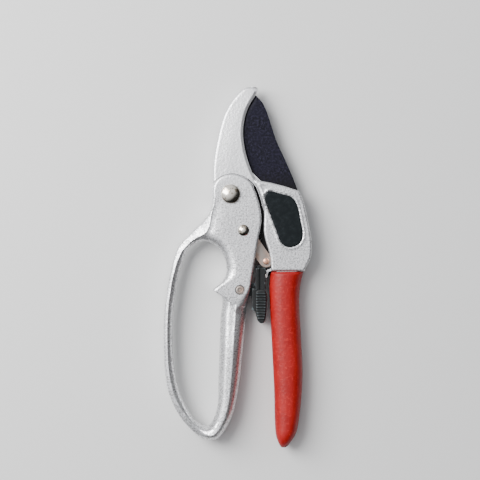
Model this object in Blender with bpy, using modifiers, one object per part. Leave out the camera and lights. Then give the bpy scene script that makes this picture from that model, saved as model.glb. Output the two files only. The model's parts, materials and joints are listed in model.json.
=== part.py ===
"""Anvil pruner with a D-handle and a ratchet link, lying flat and closed.

The pruner is drawn in millimetres about its main pivot: +X to the right, +Y to the jaws
and +Z out of the front face, with Z = 0 on the blade's mid-plane. An empty at the main
pivot carries every piece, so that the base of the whole box is centred on the origin.
"""

import math

import bmesh
import bpy

MM = 0.001

# Overall extents about the main pivot
LEFT, RIGHT = -38.0, 45.7
BOTTOM, TOP = -144.1, 61.2
FLOOR = -8.2

# Pivots
MAIN = (0.0, 0.0)
BLADE_HINGE = (25.0, -8.0)
LINK_HINGE = (7.2, -20.5)
LATCH_HINGE = (5.25, -54.2)
PAWL = (20.1, -38.1)
CATCH = (19.4, -45.8)
SPACER = (11.7, -26.6)

# Layers outwards from the mid-plane, as half thicknesses or distances
GAP = 0.3
BLADE_Z = 1.4
SLOT_Z = BLADE_Z + GAP
LINK_PLATE = 1.3
WEB_Z = 3.0
WASHER = 0.4
CHEEK_IN = WEB_Z + WASHER + 2 * GAP
CHEEK_OUT = 7.4
HOOK_Z = 5.0
HOOK_TIP_Z = 3.2
HOUSING_Z = 7.0
CORE_Z = 4.7
GRIP_Z = -FLOOR
BAR_Z = -FLOOR
GUARD_Z = 5.6
BADGE_FLOOR, BADGE_LOW, BADGE_HIGH = 5.7, 6.0, 6.8

LATCH_Z, PAD_Z = 1.5, 5.5
EAR_Z = WEB_Z + 0.4
COVER_LOW, COVER_HIGH = EAR_Z + 0.5, EAR_Z + 1.7
THROUGH = 12.0

# Radii
BOLT_R, BUSH_R, BOSS_R = 3.0, 4.5, 11.0
HEAD_R, NUT_R, WASHER_R, THRUST_R = 5.3, 5.5, 5.8, 9.0
RIVET_R, RIVET_HEAD_R, RIVET_TAIL_R = 2.2, 3.2, 2.8
LATCH_SCREW_R, LATCH_HEAD_R, LATCH_BUSH_R, LATCH_HUB_R = 1.5, 2.6, 2.6, 4.3
BLADE_BOLT_R, BLADE_HEAD_R, BLADE_BUSH_R = 2.5, 4.0, 3.8
PAWL_R, PAWL_HEAD_R, PAWL_PLAY = 1.4, 1.8, 1.1
CATCH_R, SPACER_R, SPACER_WAIST_R = 0.8, 0.9, 1.8
LINK_TOP_R, LINK_END_R = 4.4, 3.6
NOTCH_R = 1.7

# Heights of the bolt, rivet and screw heads, and of the seats cut for them
BLADE_SEAT, BLADE_HEAD_LOW, BLADE_HEAD_HIGH = 3.7, 4.0, 5.4
BLADE_NUT_SEAT, BLADE_NUT_HIGH, BLADE_NUT_LOW, BLADE_BOLT_END = -4.6, -4.9, -6.9, -6.7
NUT_SEAT, NUT_TOP, BOLT_END = -5.3, -5.6, FLOOR + GAP
TAIL_SEAT, TAIL_HIGH, TAIL_LOW = -6.3, -6.6, -7.3
SCREW_SEAT, SCREW_LOW, SCREW_HIGH, SCREW_END = 6.0, 6.3, 6.9, -6.6
HEAD_RIM, HEAD_CROWN, RIVET_CROWN = 0.5, 1.8, 1.5

# The spring round the link's rivet
WIRE_R, COIL_R, COIL_TURNS, COIL_STEPS, COIL_RISE = 0.35, 3.1, 2.0, 14, 1.7
LEG_IN, LEG_IN_TURN, LEG_OUT, LEG_OUT_TURN, COIL_START = 6.0, -0.75, 5.4, 0.8, 62.0

# Outlines, run anticlockwise. A point with a third entry is a corner.
CORNER = "corner"
HOOK_INNER = [
    (14.2, 8.5), (11.0, 15.2), (8.0, 25.5), (7.0, 35.8), (9.0, 46.9), (14.4, 57.2, CORNER),
]
HOOK_OUTER = [
    (15.5, 60.4, CORNER), (11.4, 61.2), (7.0, 60.0), (-0.1, 52.1), (-4.9, 42.1),
    (-8.8, 25.0), (-10.1, 14.6), (-10.2, 6.4, CORNER),
]
HOOK_SEAM = [
    (-8.4, 8.0), (-5.2, 10.3), (-0.1, 11.7), (4.3, 11.2), (8.8, 9.4), (12.7, 6.1),
    (15.9, 1.9, CORNER), (18.0, 2.0, CORNER), (18.0, 6.0, CORNER),
]
HOUSING = [
    (13.4, 7.7, CORNER), (15.8, 1.9), (17.7, -4.3), (18.8, -9.8), (18.7, -20.8),
    (19.5, -25.7), (21.4, -31.9), (22.5, -37.3), (22.9, -43.7, CORNER),
    (41.6, -43.7, CORNER), (42.8, -41.0), (45.3, -35.5), (RIGHT, -29.4), (45.3, -23.3),
    (42.5, -9.8), (40.3, -1.8), (37.6, 2.1, CORNER),
]
GRIP = [
    (22.4, -44.0, CORNER), (21.9, -53.9), (23.2, -81.7), (24.6, -110.0), (25.5, -135.7),
    (27.5, -142.0), (29.9, BOTTOM), (33.8, -141.3), (37.9, -133.3), (40.8, -105.5),
    (39.8, -77.7), (39.0, -60.0), (39.8, -50.7), (41.5, -44.0, CORNER),
]
CORE = [
    (26.2, -38.0, CORNER), (25.9, -54.0), (26.8, -81.0), (28.2, -110.0), (29.2, -133.0),
    (31.5, -136.0), (34.3, -131.0), (37.0, -105.0), (36.2, -78.0), (35.5, -60.0),
    (38.0, -38.0, CORNER),
]
BADGE = [
    (21.5, 1.7), (18.9, -1.5), (21.9, -11.0), (25.9, -21.5), (28.6, -28.0), (33.3, -30.3),
    (38.8, -28.3), (40.9, -23.5), (39.6, -14.5), (37.6, -6.0), (34.5, -1.6), (28.0, 0.4),
]
BLADE = [
    (14.2, 56.4, CORNER), (8.4, 46.7), (6.3, 35.8), (7.3, 25.4), (10.3, 15.0), (13.2, 7.5),
    (13.0, 1.0), (12.2, -9.0), (13.2, -17.0), (15.6, -26.0), (18.2, -36.0, CORNER),
    (22.9, -40.0, CORNER), (25.0, -40.0, CORNER), (27.0, -33.0), (30.0, -24.0),
    (34.0, -16.5), (37.6, -10.0), (38.6, -3.0), (37.5, 3.7), (31.6, 18.0), (26.0, 30.3),
    (21.3, 44.5), (18.5, 51.3),
]
D_OUTER = [
    (-10.0, -1.8), (-10.5, -6.7), (-13.0, -12.3), (-22.1, -21.4), (-30.1, -30.6),
    (-34.4, -45.3), (-37.2, -61.8), (LEFT, -83.0), (-36.0, -109.5), (-28.9, -126.2),
    (-17.8, -137.7), (-12.2, -139.7), (-6.7, -138.5), (0.5, -127.0), (4.5, -109.5),
    (7.2, -84.9), (9.2, -64.2), (11.2, -52.3), (15.5, -25.7), (17.3, -15.3), (16.1, -5.5),
    (12.1, 5.5), (8.5, 8.9), (4.2, 10.7), (-0.1, 11.2), (-5.0, 9.8), (-8.1, 7.4),
    (-9.6, 4.0),
]
D_HOLE = [
    (-14.5, -26.6), (-5.9, -31.6), (-2.3, -41.9), (-4.3, -49.1), (-10.2, -54.2, CORNER),
    (-5.1, -58.6), (-5.9, -70.6), (-7.1, -105.0), (-7.9, -121.4), (-13.0, -131.8),
    (-21.8, -127.0), (-30.9, -106.3), (-33.3, -76.9), (-30.9, -52.3), (-25.7, -33.2),
    (-21.9, -28.9),
]

# Straight-sided outlines inside the tool
HOUSING_SLOT = [
    (13.0, 12.0), (12.4, 6.0), (11.0, -3.0), (10.2, -8.0), (10.8, -14.0), (2.0, -22.0),
    (10.0, -41.5), (26.5, -41.5), (28.2, -33.5), (31.2, -25.0), (35.2, -17.5),
    (39.9, -12.0), (48.0, -6.0), (48.0, 8.0), (30.0, 12.0),
]
WEB_CORNERS = [(12.0, -10.8), (20.5, -10.8), (20.5, 4.0), (12.0, 12.5), (0.0, 14.0)]
CATCH_EAR = [
    (17.5, -46.0), (18.2, -47.4), (19.6, -47.9), (21.0, -47.2), (21.6, -45.5),
    (22.0, -43.6), (24.5, -43.0), (24.5, -42.1), (22.8, -42.1), (19.0, -43.8),
]
SLOT_R = BOSS_R + 2.2
SPRING_SLOT_R = 6.8
LATCH_SLOT_R = 5.0
LATCH_ARM = [(7.0, -50.5), (7.0, -57.5), (14.5, -58.0), (14.5, -50.5)]
LATCH_UPRIGHT = [
    (14.0, -54.5), (16.6, -54.5), (16.3, -45.5), (16.3, -43.4), (16.9, -42.3), (17.6, -42.1),
    (18.3, -42.5), (19.4, -43.9), (20.1, -43.5), (19.7, -41.1), (17.8, -40.3), (15.2, -40.6),
    (14.0, -41.6),
]
LATCH_COVER = [
    (14.0, -54.5), (19.7, -54.5), (19.7, -49.2), (20.3, -48.2), (19.6, -46.8), (19.6, -45.6),
    (20.3, -44.4), (19.5, -42.4), (18.6, -41.9), (14.9, -41.9), (14.0, -42.8),
]
LATCH_BLOCK = [
    (12.0, -53.2), (12.0, -66.0), (14.5, -67.0), (14.5, -54.0), (14.5, -53.2),
]
PAD_LEFT, PAD_RIGHT, PAD_TOP, PAD_TIP = 14.2, 20.3, -54.0, -73.0
PAD_RIBS = 10
NOTCHES = [(17.6, -31.6), (15.6, -25.6), (14.0, -19.8)]


def clear_scene():
    for obj in list(bpy.data.objects):
        bpy.data.objects.remove(obj, do_unlink=True)


def make_collection(name):
    collection = bpy.data.collections.new(name)
    bpy.context.scene.collection.children.link(collection)
    return collection


def make_material(name, color, roughness, metallic):
    material = bpy.data.materials.new(name)
    material.use_nodes = True
    shader = material.node_tree.nodes["Principled BSDF"]
    shader.inputs["Base Color"].default_value = (*color, 1.0)
    shader.inputs["Roughness"].default_value = roughness
    shader.inputs["Metallic"].default_value = metallic
    return material


clear_scene()
PARTS = make_collection("anvil_pruner")
CUTTERS = make_collection("anvil_pruner_cutters")
ROOT = bpy.data.objects.new("main_pivot", None)
ROOT.location = (-(LEFT + RIGHT) / 2 * MM, -(BOTTOM + TOP) / 2 * MM, -FLOOR * MM)
PARTS.objects.link(ROOT)

SILVER = ("hammered_silver", (0.62, 0.62, 0.64), 0.42, 0.6)
RED = ("red_grip", (0.55, 0.03, 0.02), 0.5, 0.0)
BLACK = ("black_gloss", (0.01, 0.01, 0.012), 0.15, 0.0)
COATED = ("coated_steel", (0.02, 0.022, 0.027), 0.38, 0.5)
PLATED = ("plated_steel", (0.75, 0.74, 0.72), 0.18, 1.0)
PLAIN = ("plain_steel", (0.35, 0.32, 0.29), 0.38, 1.0)
BRONZE = ("bronze", (0.5, 0.3, 0.16), 0.4, 1.0)
COPPER = ("copper_pin", (0.66, 0.3, 0.17), 0.3, 1.0)
LATCH_BLACK = ("latch_black", (0.02, 0.022, 0.02), 0.5, 0.0)


def place(mesh, name, origin, as_cutter=False):
    """An object on the pivot's empty, with its own origin at (x, y) on the mid-plane."""
    obj = bpy.data.objects.new(name, mesh)
    obj.parent = ROOT
    obj.location = (origin[0] * MM, origin[1] * MM, 0.0)
    (CUTTERS if as_cutter else PARTS).objects.link(obj)
    if as_cutter:
        obj.hide_render = True
        obj.display_type = "WIRE"
    return obj


def curve_to_mesh(curve, name):
    """The welded mesh of a filled curve, with its faces pointing out."""
    obj = bpy.data.objects.new(name, curve)
    CUTTERS.objects.link(obj)
    graph = bpy.context.evaluated_depsgraph_get()
    mesh = bpy.data.meshes.new_from_object(obj.evaluated_get(graph))
    bpy.data.objects.remove(obj, do_unlink=True)
    work = bmesh.new()
    work.from_mesh(mesh)
    bmesh.ops.remove_doubles(work, verts=work.verts, dist=0.002 * MM)
    bmesh.ops.recalc_face_normals(work, faces=work.faces)
    work.to_mesh(mesh)
    work.free()
    mesh.name = name
    return mesh


def add_loop(curve, points, origin, smooth):
    """One closed loop: a Bezier through the points, or straight lines between them."""
    if not smooth:
        spline = curve.splines.new("POLY")
        spline.points.add(len(points) - 1)
        for target, point in zip(spline.points, points):
            target.co = ((point[0] - origin[0]) * MM, (point[1] - origin[1]) * MM, 0.0, 1.0)
    else:
        spline = curve.splines.new("BEZIER")
        spline.bezier_points.add(len(points) - 1)
        for target, point in zip(spline.bezier_points, points):
            target.co = ((point[0] - origin[0]) * MM, (point[1] - origin[1]) * MM, 0.0)
            kind = "VECTOR" if len(point) > 2 else "AUTO"
            target.handle_left_type = kind
            target.handle_right_type = kind
    spline.use_cyclic_u = True


def plate_mesh(name, loops, low, high, origin=MAIN, edge=0.0, smooth=True, detail=3):
    """A flat plate between two heights, its outer edges rounded by `edge`."""
    curve = bpy.data.curves.new(name, "CURVE")
    curve.dimensions = "2D"
    curve.fill_mode = "BOTH"
    curve.resolution_u = detail
    curve.extrude = ((high - low) / 2 - edge) * MM
    curve.bevel_depth = edge * MM
    curve.bevel_resolution = 1
    curve.offset = -edge * MM
    for points in loops:
        add_loop(curve, points, origin, smooth)
    mesh = curve_to_mesh(curve, name)
    for vertex in mesh.vertices:
        vertex.co.z += (high + low) / 2 * MM
    return mesh


def plate(name, loops, low, high, origin=MAIN, as_cutter=False, **shape):
    """A plate_mesh placed as an object, or as a hidden cutter."""
    mesh = plate_mesh(name, loops, low, high, origin, **shape)
    return place(mesh, name, origin, as_cutter)


def turned(name, profile, origin, steps=20, as_cutter=False):
    """A turned piece about its own Z axis, from (radius, height) points."""
    mesh = bpy.data.meshes.new(name)
    points = [(radius * MM, 0.0, height * MM) for radius, height in profile]
    count = len(points)
    on_axis = profile[0][0] == 0.0 and profile[-1][0] == 0.0
    edges = [(i, i + 1) for i in range(count - 1)] + ([] if on_axis else [(count - 1, 0)])
    mesh.from_pydata(points, edges, [])
    obj = place(mesh, name, origin, as_cutter)
    screw = obj.modifiers.new("Turn", "SCREW")
    screw.axis = "Z"
    screw.steps = steps
    screw.render_steps = steps
    screw.use_merge_vertices = True
    screw.merge_threshold = 0.005 * MM
    screw.use_smooth_shade = True
    return obj


def rod(name, radius, low, high, origin, steps=20, as_cutter=False):
    profile = [(0, high), (radius, high), (radius, low), (0, low)]
    return turned(name, profile, origin, steps, as_cutter)


def ring(name, inner, outer, low, high, origin, steps=20):
    profile = [(outer, high), (outer, low), (inner, low), (inner, high)]
    return turned(name, profile, origin, steps)


def dome(radius, base, height, count=4):
    """Profile points from the crown of a shallow dome down to its rim."""
    sphere = (radius**2 + height**2) / (2 * height)
    reach = math.asin(radius / sphere)
    angles = [reach * step / count for step in range(count + 1)]
    crown = base + height - sphere
    return [(sphere * math.sin(angle), crown + sphere * math.cos(angle)) for angle in angles]


def combine(obj, other, operation):
    """A Boolean of one mesh with another; the other becomes a hidden helper."""
    modifier = obj.modifiers.new(f"{operation.title()} {other.name}", "BOOLEAN")
    modifier.operation = operation
    modifier.solver = "EXACT"
    modifier.object = other


def cut(obj, *others):
    for other in others:
        combine(obj, other, "DIFFERENCE")


def join(obj, *others):
    for other in others:
        combine(obj, other, "UNION")


def hex_nut(name, corner_radius, hole, low, high, origin):
    """A hexagonal nut with a plain round hole."""
    corners = arc(origin, corner_radius, 0.0, 300.0, 5)
    nut = plate(name, [corners], low, high, origin, smooth=False)
    cut(nut, bore(f"{name}_hole", hole, -THROUGH, THROUGH, origin))
    return nut


def finish(obj, look, angle=40.0):
    """Give an object its material and its smooth shading, and weld its Boolean seams."""
    if obj.modifiers and obj.modifiers[-1].type == "BOOLEAN":
        seams = obj.modifiers.new("Seams", "WELD")
        seams.merge_threshold = 0.02 * MM
    obj.data.materials.clear()
    obj.data.materials.append(make_material(*look))
    obj.data.shade_smooth()
    obj.data.set_sharp_from_angle(angle=math.radians(angle))
    return obj


def bore(name, radius, low, high, origin, steps=20):
    return rod(f"cut_{name}", radius, low, high, origin, steps, as_cutter=True)


def pocket(name, points, half, **shape):
    return plate(f"cut_{name}", [points], -half, half, as_cutter=True, **shape)


def grown(points, distance):
    """The outline moved outwards by a distance, for a pocket round a piece."""
    moved = []
    for index, point in enumerate(points):
        before = points[index - 1]
        after = points[(index + 1) % len(points)]
        along = (after[0] - before[0], after[1] - before[1])
        length = math.hypot(*along)
        shift = (along[1] / length * distance, -along[0] / length * distance)
        moved.append((point[0] + shift[0], point[1] + shift[1], *point[2:]))
    return moved


def arc(centre, radius, start, end, steps):
    """Points on a circle between two angles in degrees, both ends included."""
    angles = [math.radians(start + (end - start) * step / steps) for step in range(steps + 1)]
    return [(centre[0] + radius * math.cos(a), centre[1] + radius * math.sin(a)) for a in angles]


def ease(value, start, end):
    """0 before start, 1 after end, and a smooth step between them."""
    t = min(max((value - start) / (end - start), 0.0), 1.0)
    return t * t * (3 - 2 * t)


# ---- the anvil side ----

def build_hook():
    """The hooked jaw, which thins towards its tip."""
    outline = HOOK_INNER + HOOK_OUTER + HOOK_SEAM
    mesh = plate_mesh("hook", [outline], -HOOK_Z, HOOK_Z, edge=1.0)
    for vertex in mesh.vertices:
        thinned = ease(vertex.co.y / MM, 15.0, TOP)
        vertex.co.z *= 1 - thinned * (1 - HOOK_TIP_Z / HOOK_Z)
    return place(mesh, "add_hook", MAIN, as_cutter=True)


def build_catch_ears():
    """Two thin ears that hold the catch pin, one on each side of the latch."""
    inner = LATCH_Z + 0.4
    shape = {"as_cutter": True, "smooth": False}
    front = plate("add_ear_front", [CATCH_EAR], inner, EAR_Z, **shape)
    rear = plate("add_ear_rear", [CATCH_EAR], -EAR_Z, -inner, **shape)
    return front, rear


def build_anvil_handle():
    """The anvil side's casting: hooked jaw, web, housing and the core inside the grip."""
    body = plate("anvil_handle", [HOUSING], -HOUSING_Z, HOUSING_Z, edge=1.2)
    web_outline = arc(MAIN, BOSS_R, 150.0, 300.0, 10) + WEB_CORNERS
    web = plate("add_web", [web_outline], -WEB_Z, WEB_Z, as_cutter=True, smooth=False)
    core = plate("add_core", [CORE], -CORE_Z, CORE_Z, as_cutter=True, detail=2)
    join(body, build_hook(), web, core, *build_catch_ears())
    seat = BLADE_HEAD_R + GAP
    link_room = WEB_Z + 0.5
    cut(
        body,
        pocket("housing_slot", HOUSING_SLOT, SLOT_Z, smooth=False),
        pocket("blade_groove", grown(BLADE[:6] + BLADE[-5:], 0.4), SLOT_Z),
        bore("link_end", LINK_END_R + 0.8, -link_room, link_room, PAWL),
        bore("main_bore", BUSH_R + GAP, -WEB_Z - 1, WEB_Z + 1, MAIN),
        bore("blade_bolt", BLADE_BOLT_R + GAP, -THROUGH, THROUGH, BLADE_HINGE),
        bore("blade_head", seat, BLADE_SEAT, THROUGH, BLADE_HINGE),
        bore("blade_nut", seat, -THROUGH, BLADE_NUT_SEAT, BLADE_HINGE),
        bore("catch_pin", CATCH_R + GAP, -WEB_Z - 1, WEB_Z + 1, CATCH, 12),
        plate("cut_badge", [grown(BADGE, GAP)], BADGE_FLOOR, THROUGH, as_cutter=True),
    )
    return finish(body, SILVER)


def build_grip_sleeve():
    """The dipped grip, closed at its end and hollow where the handle's core sits."""
    sleeve = plate("grip_sleeve", [GRIP], -GRIP_Z, GRIP_Z, edge=4.0)
    cut(sleeve, pocket("grip_hollow", grown(CORE, GAP), CORE_Z + GAP, detail=2))
    return finish(sleeve, RED)


def build_anvil_side_fittings():
    """Badge, main bush, two thrust washers, the blade's bolt and nut, and the catch pin."""
    finish(plate("badge_plate", [BADGE], BADGE_LOW, BADGE_HIGH), BLACK)
    finish(ring("pivot_bush", BOLT_R + GAP, BUSH_R, -WEB_Z, WEB_Z, MAIN), BRONZE)
    low = WEB_Z + GAP
    high = low + WASHER
    finish(ring("thrust_washer_front", BOLT_R + GAP, THRUST_R, low, high, MAIN), BRONZE)
    finish(ring("thrust_washer_rear", BOLT_R + GAP, THRUST_R, -high, -low, MAIN), BRONZE)
    bolt = [
        (0, BLADE_HEAD_HIGH), (BLADE_HEAD_R, BLADE_HEAD_HIGH), (BLADE_HEAD_R, BLADE_HEAD_LOW),
        (BLADE_BOLT_R, BLADE_HEAD_LOW), (BLADE_BOLT_R, BLADE_BOLT_END), (0, BLADE_BOLT_END),
    ]
    finish(turned("blade_bolt", bolt, BLADE_HINGE), PLAIN)
    hole = BLADE_BOLT_R + GAP
    nut = hex_nut("blade_nut", BLADE_HEAD_R, hole, BLADE_NUT_LOW, BLADE_NUT_HIGH, BLADE_HINGE)
    finish(nut, PLATED)
    finish(rod("catch_pin", CATCH_R, -EAR_Z, EAR_Z, CATCH, 12), PLATED)


# ---- the D-handle ----

def d_half_depth(x, y):
    """Half the D-handle's depth: flat cheeks, a deep grip bar and a slimmer guard."""
    bar = CHEEK_OUT + (BAR_Z - CHEEK_OUT) * ease(-y, 58.0, 74.0)
    guard = ease(-x, 9.0, 27.0)
    return bar + (GUARD_Z - bar) * guard


def link_slot_outline():
    """Room between the cheeks for the web's boss, the spring and the ratchet link."""
    boss = arc(MAIN, SLOT_R, 100.0, 235.0, 9)
    spring = arc(LINK_HINGE, SPRING_SLOT_R, 165.0, 235.0, 4)
    return boss + spring + [(14.5, -41.5), (30.0, -41.5), (30.0, 8.0), (14.0, 18.0)]


def latch_slot_outline():
    hub = arc(LATCH_HINGE, LATCH_SLOT_R, 90.0, 270.0, 8)
    return hub + [(16.0, -64.0), (16.0, -46.0)]


def build_d_handle():
    """The casting that holds the finger guard, the grip bar and the two cheeks."""
    outlines = [D_OUTER, list(reversed(D_HOLE))]
    mesh = plate_mesh("d_handle", outlines, -CHEEK_OUT, CHEEK_OUT, edge=2.6)
    for vertex in mesh.vertices:
        vertex.co.z *= d_half_depth(vertex.co.x / MM, vertex.co.y / MM) / CHEEK_OUT
    body = place(mesh, "d_handle", MAIN)
    cut(
        body,
        pocket("link_slot", link_slot_outline(), CHEEK_IN, smooth=False),
        pocket("latch_slot", latch_slot_outline(), CHEEK_IN, smooth=False),
        bore("bolt", BOLT_R + GAP, -THROUGH, THROUGH, MAIN),
        bore("nut_seat", NUT_R + 0.5, -THROUGH, NUT_SEAT, MAIN),
        bore("rivet", RIVET_R + GAP, -THROUGH, THROUGH, LINK_HINGE, 16),
        bore("rivet_tail", RIVET_TAIL_R + 0.4, -THROUGH, TAIL_SEAT, LINK_HINGE, 16),
        bore("latch_screw", LATCH_SCREW_R + GAP, -THROUGH, THROUGH, LATCH_HINGE, 16),
        bore("latch_head", LATCH_HEAD_R + GAP, SCREW_SEAT, THROUGH, LATCH_HINGE, 16),
    )
    return finish(body, SILVER)


def build_d_handle_fittings():
    """The main bolt with its washer and nut, the link's rivet and the latch's screw."""
    washer_low = CHEEK_OUT + GAP
    washer_high = washer_low + WASHER
    head_low = washer_high + GAP
    crown = dome(HEAD_R, head_low + HEAD_RIM, HEAD_CROWN)
    shank = [(HEAD_R, head_low), (BOLT_R, head_low), (BOLT_R, BOLT_END), (0, BOLT_END)]
    finish(turned("pivot_bolt", crown + shank, MAIN, 28), PLATED)
    hole = BOLT_R + GAP
    finish(ring("pivot_washer", hole, WASHER_R, washer_low, washer_high, MAIN), PLATED)
    finish(hex_nut("pivot_nut", NUT_R, hole, FLOOR, NUT_TOP, MAIN), PLATED)
    rivet = dome(RIVET_HEAD_R, washer_low, RIVET_CROWN) + [
        (RIVET_R, washer_low), (RIVET_R, TAIL_HIGH), (RIVET_TAIL_R, TAIL_HIGH),
        (RIVET_TAIL_R, TAIL_LOW), (0, TAIL_LOW),
    ]
    finish(turned("link_rivet", rivet, LINK_HINGE), PLATED)
    screw = [
        (0, SCREW_HIGH), (LATCH_HEAD_R, SCREW_HIGH), (LATCH_HEAD_R, SCREW_LOW),
        (LATCH_SCREW_R, SCREW_LOW), (LATCH_SCREW_R, SCREW_END), (0, SCREW_END),
    ]
    finish(turned("latch_screw", screw, LATCH_HINGE), PLAIN)


# ---- the blade ----

def build_blade():
    """The cutting blade, with a row of notches down the tail for the ratchet's pin."""
    blade = plate("blade", [BLADE], -BLADE_Z, BLADE_Z, origin=BLADE_HINGE)
    cut(
        blade,
        bore("blade_bore", BLADE_BUSH_R + GAP, -THROUGH, THROUGH, BLADE_HINGE),
        bore("pawl_seat", PAWL_R + PAWL_PLAY, -THROUGH, THROUGH, PAWL),
    )
    for index, centre in enumerate(NOTCHES):
        cut(blade, bore(f"notch_{index}", NOTCH_R, -THROUGH, THROUGH, centre, 12))
    finish(blade, COATED)
    hole = BLADE_BOLT_R + GAP
    finish(ring("blade_bush", hole, BLADE_BUSH_R, -BLADE_Z, BLADE_Z, BLADE_HINGE), BRONZE)


# ---- the ratchet link ----

def link_outline():
    """Two round ends joined by straight sides."""
    angle = math.degrees(math.atan2(PAWL[1] - LINK_HINGE[1], PAWL[0] - LINK_HINGE[0]))
    top = arc(LINK_HINGE, LINK_TOP_R, angle + 90, angle + 270, 6)
    end = arc(PAWL, LINK_END_R, angle - 90, angle + 90, 6)
    return top + end


def build_link_plate(name, low, high):
    side = plate(name, [link_outline()], low, high, origin=LINK_HINGE, smooth=False)
    for centre, radius in ((LINK_HINGE, RIVET_R), (PAWL, PAWL_R), (SPACER, SPACER_R)):
        hole = f"{name}_hole_{radius}"
        cut(side, bore(hole, radius + GAP, -THROUGH, THROUGH, centre, 16))
    finish(side, PLAIN)


def build_link():
    """Two side plates, with a headed pin at the blade's end and a spacer between them."""
    low = BLADE_Z + GAP
    high = low + LINK_PLATE
    build_link_plate("link_plate_front", low, high)
    build_link_plate("link_plate_rear", -high, -low)
    cap = high + GAP
    pin = [
        (0, cap + 0.7), (PAWL_HEAD_R, cap + 0.6), (PAWL_HEAD_R, cap), (PAWL_R, cap),
        (PAWL_R, -high), (0, -high),
    ]
    finish(turned("pawl_pin", pin, PAWL, 16), COPPER)
    spacer = [
        (0, high), (SPACER_R, high), (SPACER_R, BLADE_Z), (SPACER_WAIST_R, BLADE_Z),
        (SPACER_WAIST_R, -BLADE_Z), (SPACER_R, -BLADE_Z), (SPACER_R, -high), (0, -high),
    ]
    finish(turned("link_spacer", spacer, SPACER, 12), PLAIN)


def spring_points():
    """A straight leg, the turns of the coil and the other leg."""
    toward = math.atan2(SPACER[1] - LINK_HINGE[1], SPACER[0] - LINK_HINGE[0])
    start = toward + math.radians(COIL_START)
    end = start + 2 * math.pi * COIL_TURNS
    count = int(COIL_TURNS * COIL_STEPS)
    path = [(LEG_IN, start + LEG_IN_TURN, 0.0)]
    for step in range(count + 1):
        share = step / count
        path.append((COIL_R, start + (end - start) * share, share))
    path.append((LEG_OUT, end + LEG_OUT_TURN, 1.0))
    return [
        (reach * math.cos(angle), reach * math.sin(angle), COIL_RISE * (share - 0.5))
        for reach, angle, share in path
    ]


def build_link_spring():
    """A torsion spring round the link's rivet, one leg against the spacer."""
    curve = bpy.data.curves.new("link_spring", "CURVE")
    curve.dimensions = "3D"
    curve.bevel_depth = WIRE_R * MM
    curve.bevel_resolution = 1
    curve.use_fill_caps = True
    points = spring_points()
    spline = curve.splines.new("POLY")
    spline.points.add(len(points) - 1)
    for target, (x, y, z) in zip(spline.points, points):
        target.co = (x * MM, y * MM, z * MM, 1.0)
    mesh = curve_to_mesh(curve, "link_spring")
    finish(place(mesh, "link_spring", LINK_HINGE), PLAIN)


# ---- the safety latch ----

def pad_outline():
    """The thumb pad, with a row of ribs down its right side."""
    points = [(PAD_LEFT, PAD_TOP), (PAD_LEFT, PAD_TIP + 5.0), (17.2, PAD_TIP)]
    pitch = (PAD_TOP - PAD_TIP - 2.0) / PAD_RIBS
    for rib in range(PAD_RIBS):
        low = PAD_TIP + 1.0 + rib * pitch
        reach = PAD_RIGHT - 2.4 * (1 - ease(rib, -1, 5))
        points.append((reach - 0.8, low))
        points.append((reach, low + 0.3 * pitch))
        points.append((reach, low + 0.7 * pitch))
    points.append((PAD_RIGHT - 0.8, PAD_TOP))
    return points


def build_latch():
    """The safety latch: ribbed pad, block, arm, nose, front cover and hub in one piece."""
    shape = {"as_cutter": True, "smooth": False}
    lever = plate("latch_lever", [pad_outline()], -PAD_Z, PAD_Z, LATCH_HINGE, smooth=False)
    block_z = PAD_Z - 0.6
    hub_z = CHEEK_IN - GAP
    join(
        lever,
        plate("add_latch_block", [LATCH_BLOCK], -block_z, block_z, **shape),
        plate("add_latch_arm", [LATCH_ARM], -WEB_Z, WEB_Z, **shape),
        plate("add_latch_upright", [LATCH_UPRIGHT], -LATCH_Z, LATCH_Z, **shape),
        plate("add_latch_cover", [LATCH_COVER], COVER_LOW, COVER_HIGH, **shape),
        rod("add_latch_hub", LATCH_HUB_R, -hub_z, hub_z, LATCH_HINGE, as_cutter=True),
    )
    cut(lever, bore("latch_bore", LATCH_BUSH_R + GAP, -THROUGH, THROUGH, LATCH_HINGE))
    finish(lever, LATCH_BLACK)
    hole = LATCH_SCREW_R + GAP
    finish(ring("latch_bush", hole, LATCH_BUSH_R, -hub_z, hub_z, LATCH_HINGE, 16), BRONZE)


build_anvil_handle()
build_grip_sleeve()
build_anvil_side_fittings()
build_d_handle()
build_d_handle_fittings()
build_blade()
build_link()
build_link_spring()
build_latch()
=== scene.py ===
"""The looks of an anvil pruner: fine castings, grip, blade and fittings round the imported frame.

Everything is drawn in millimetres about the main pivot, +Y to the jaws and +Z out of the
front face, with Z = 0 on the blade's mid-plane, and is then placed in the frame's metres.
"""

import json
import math

import bmesh
import bpy
import numpy as np
from mathutils import Matrix, Vector
from mathutils.geometry import delaunay_2d_cdt


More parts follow.
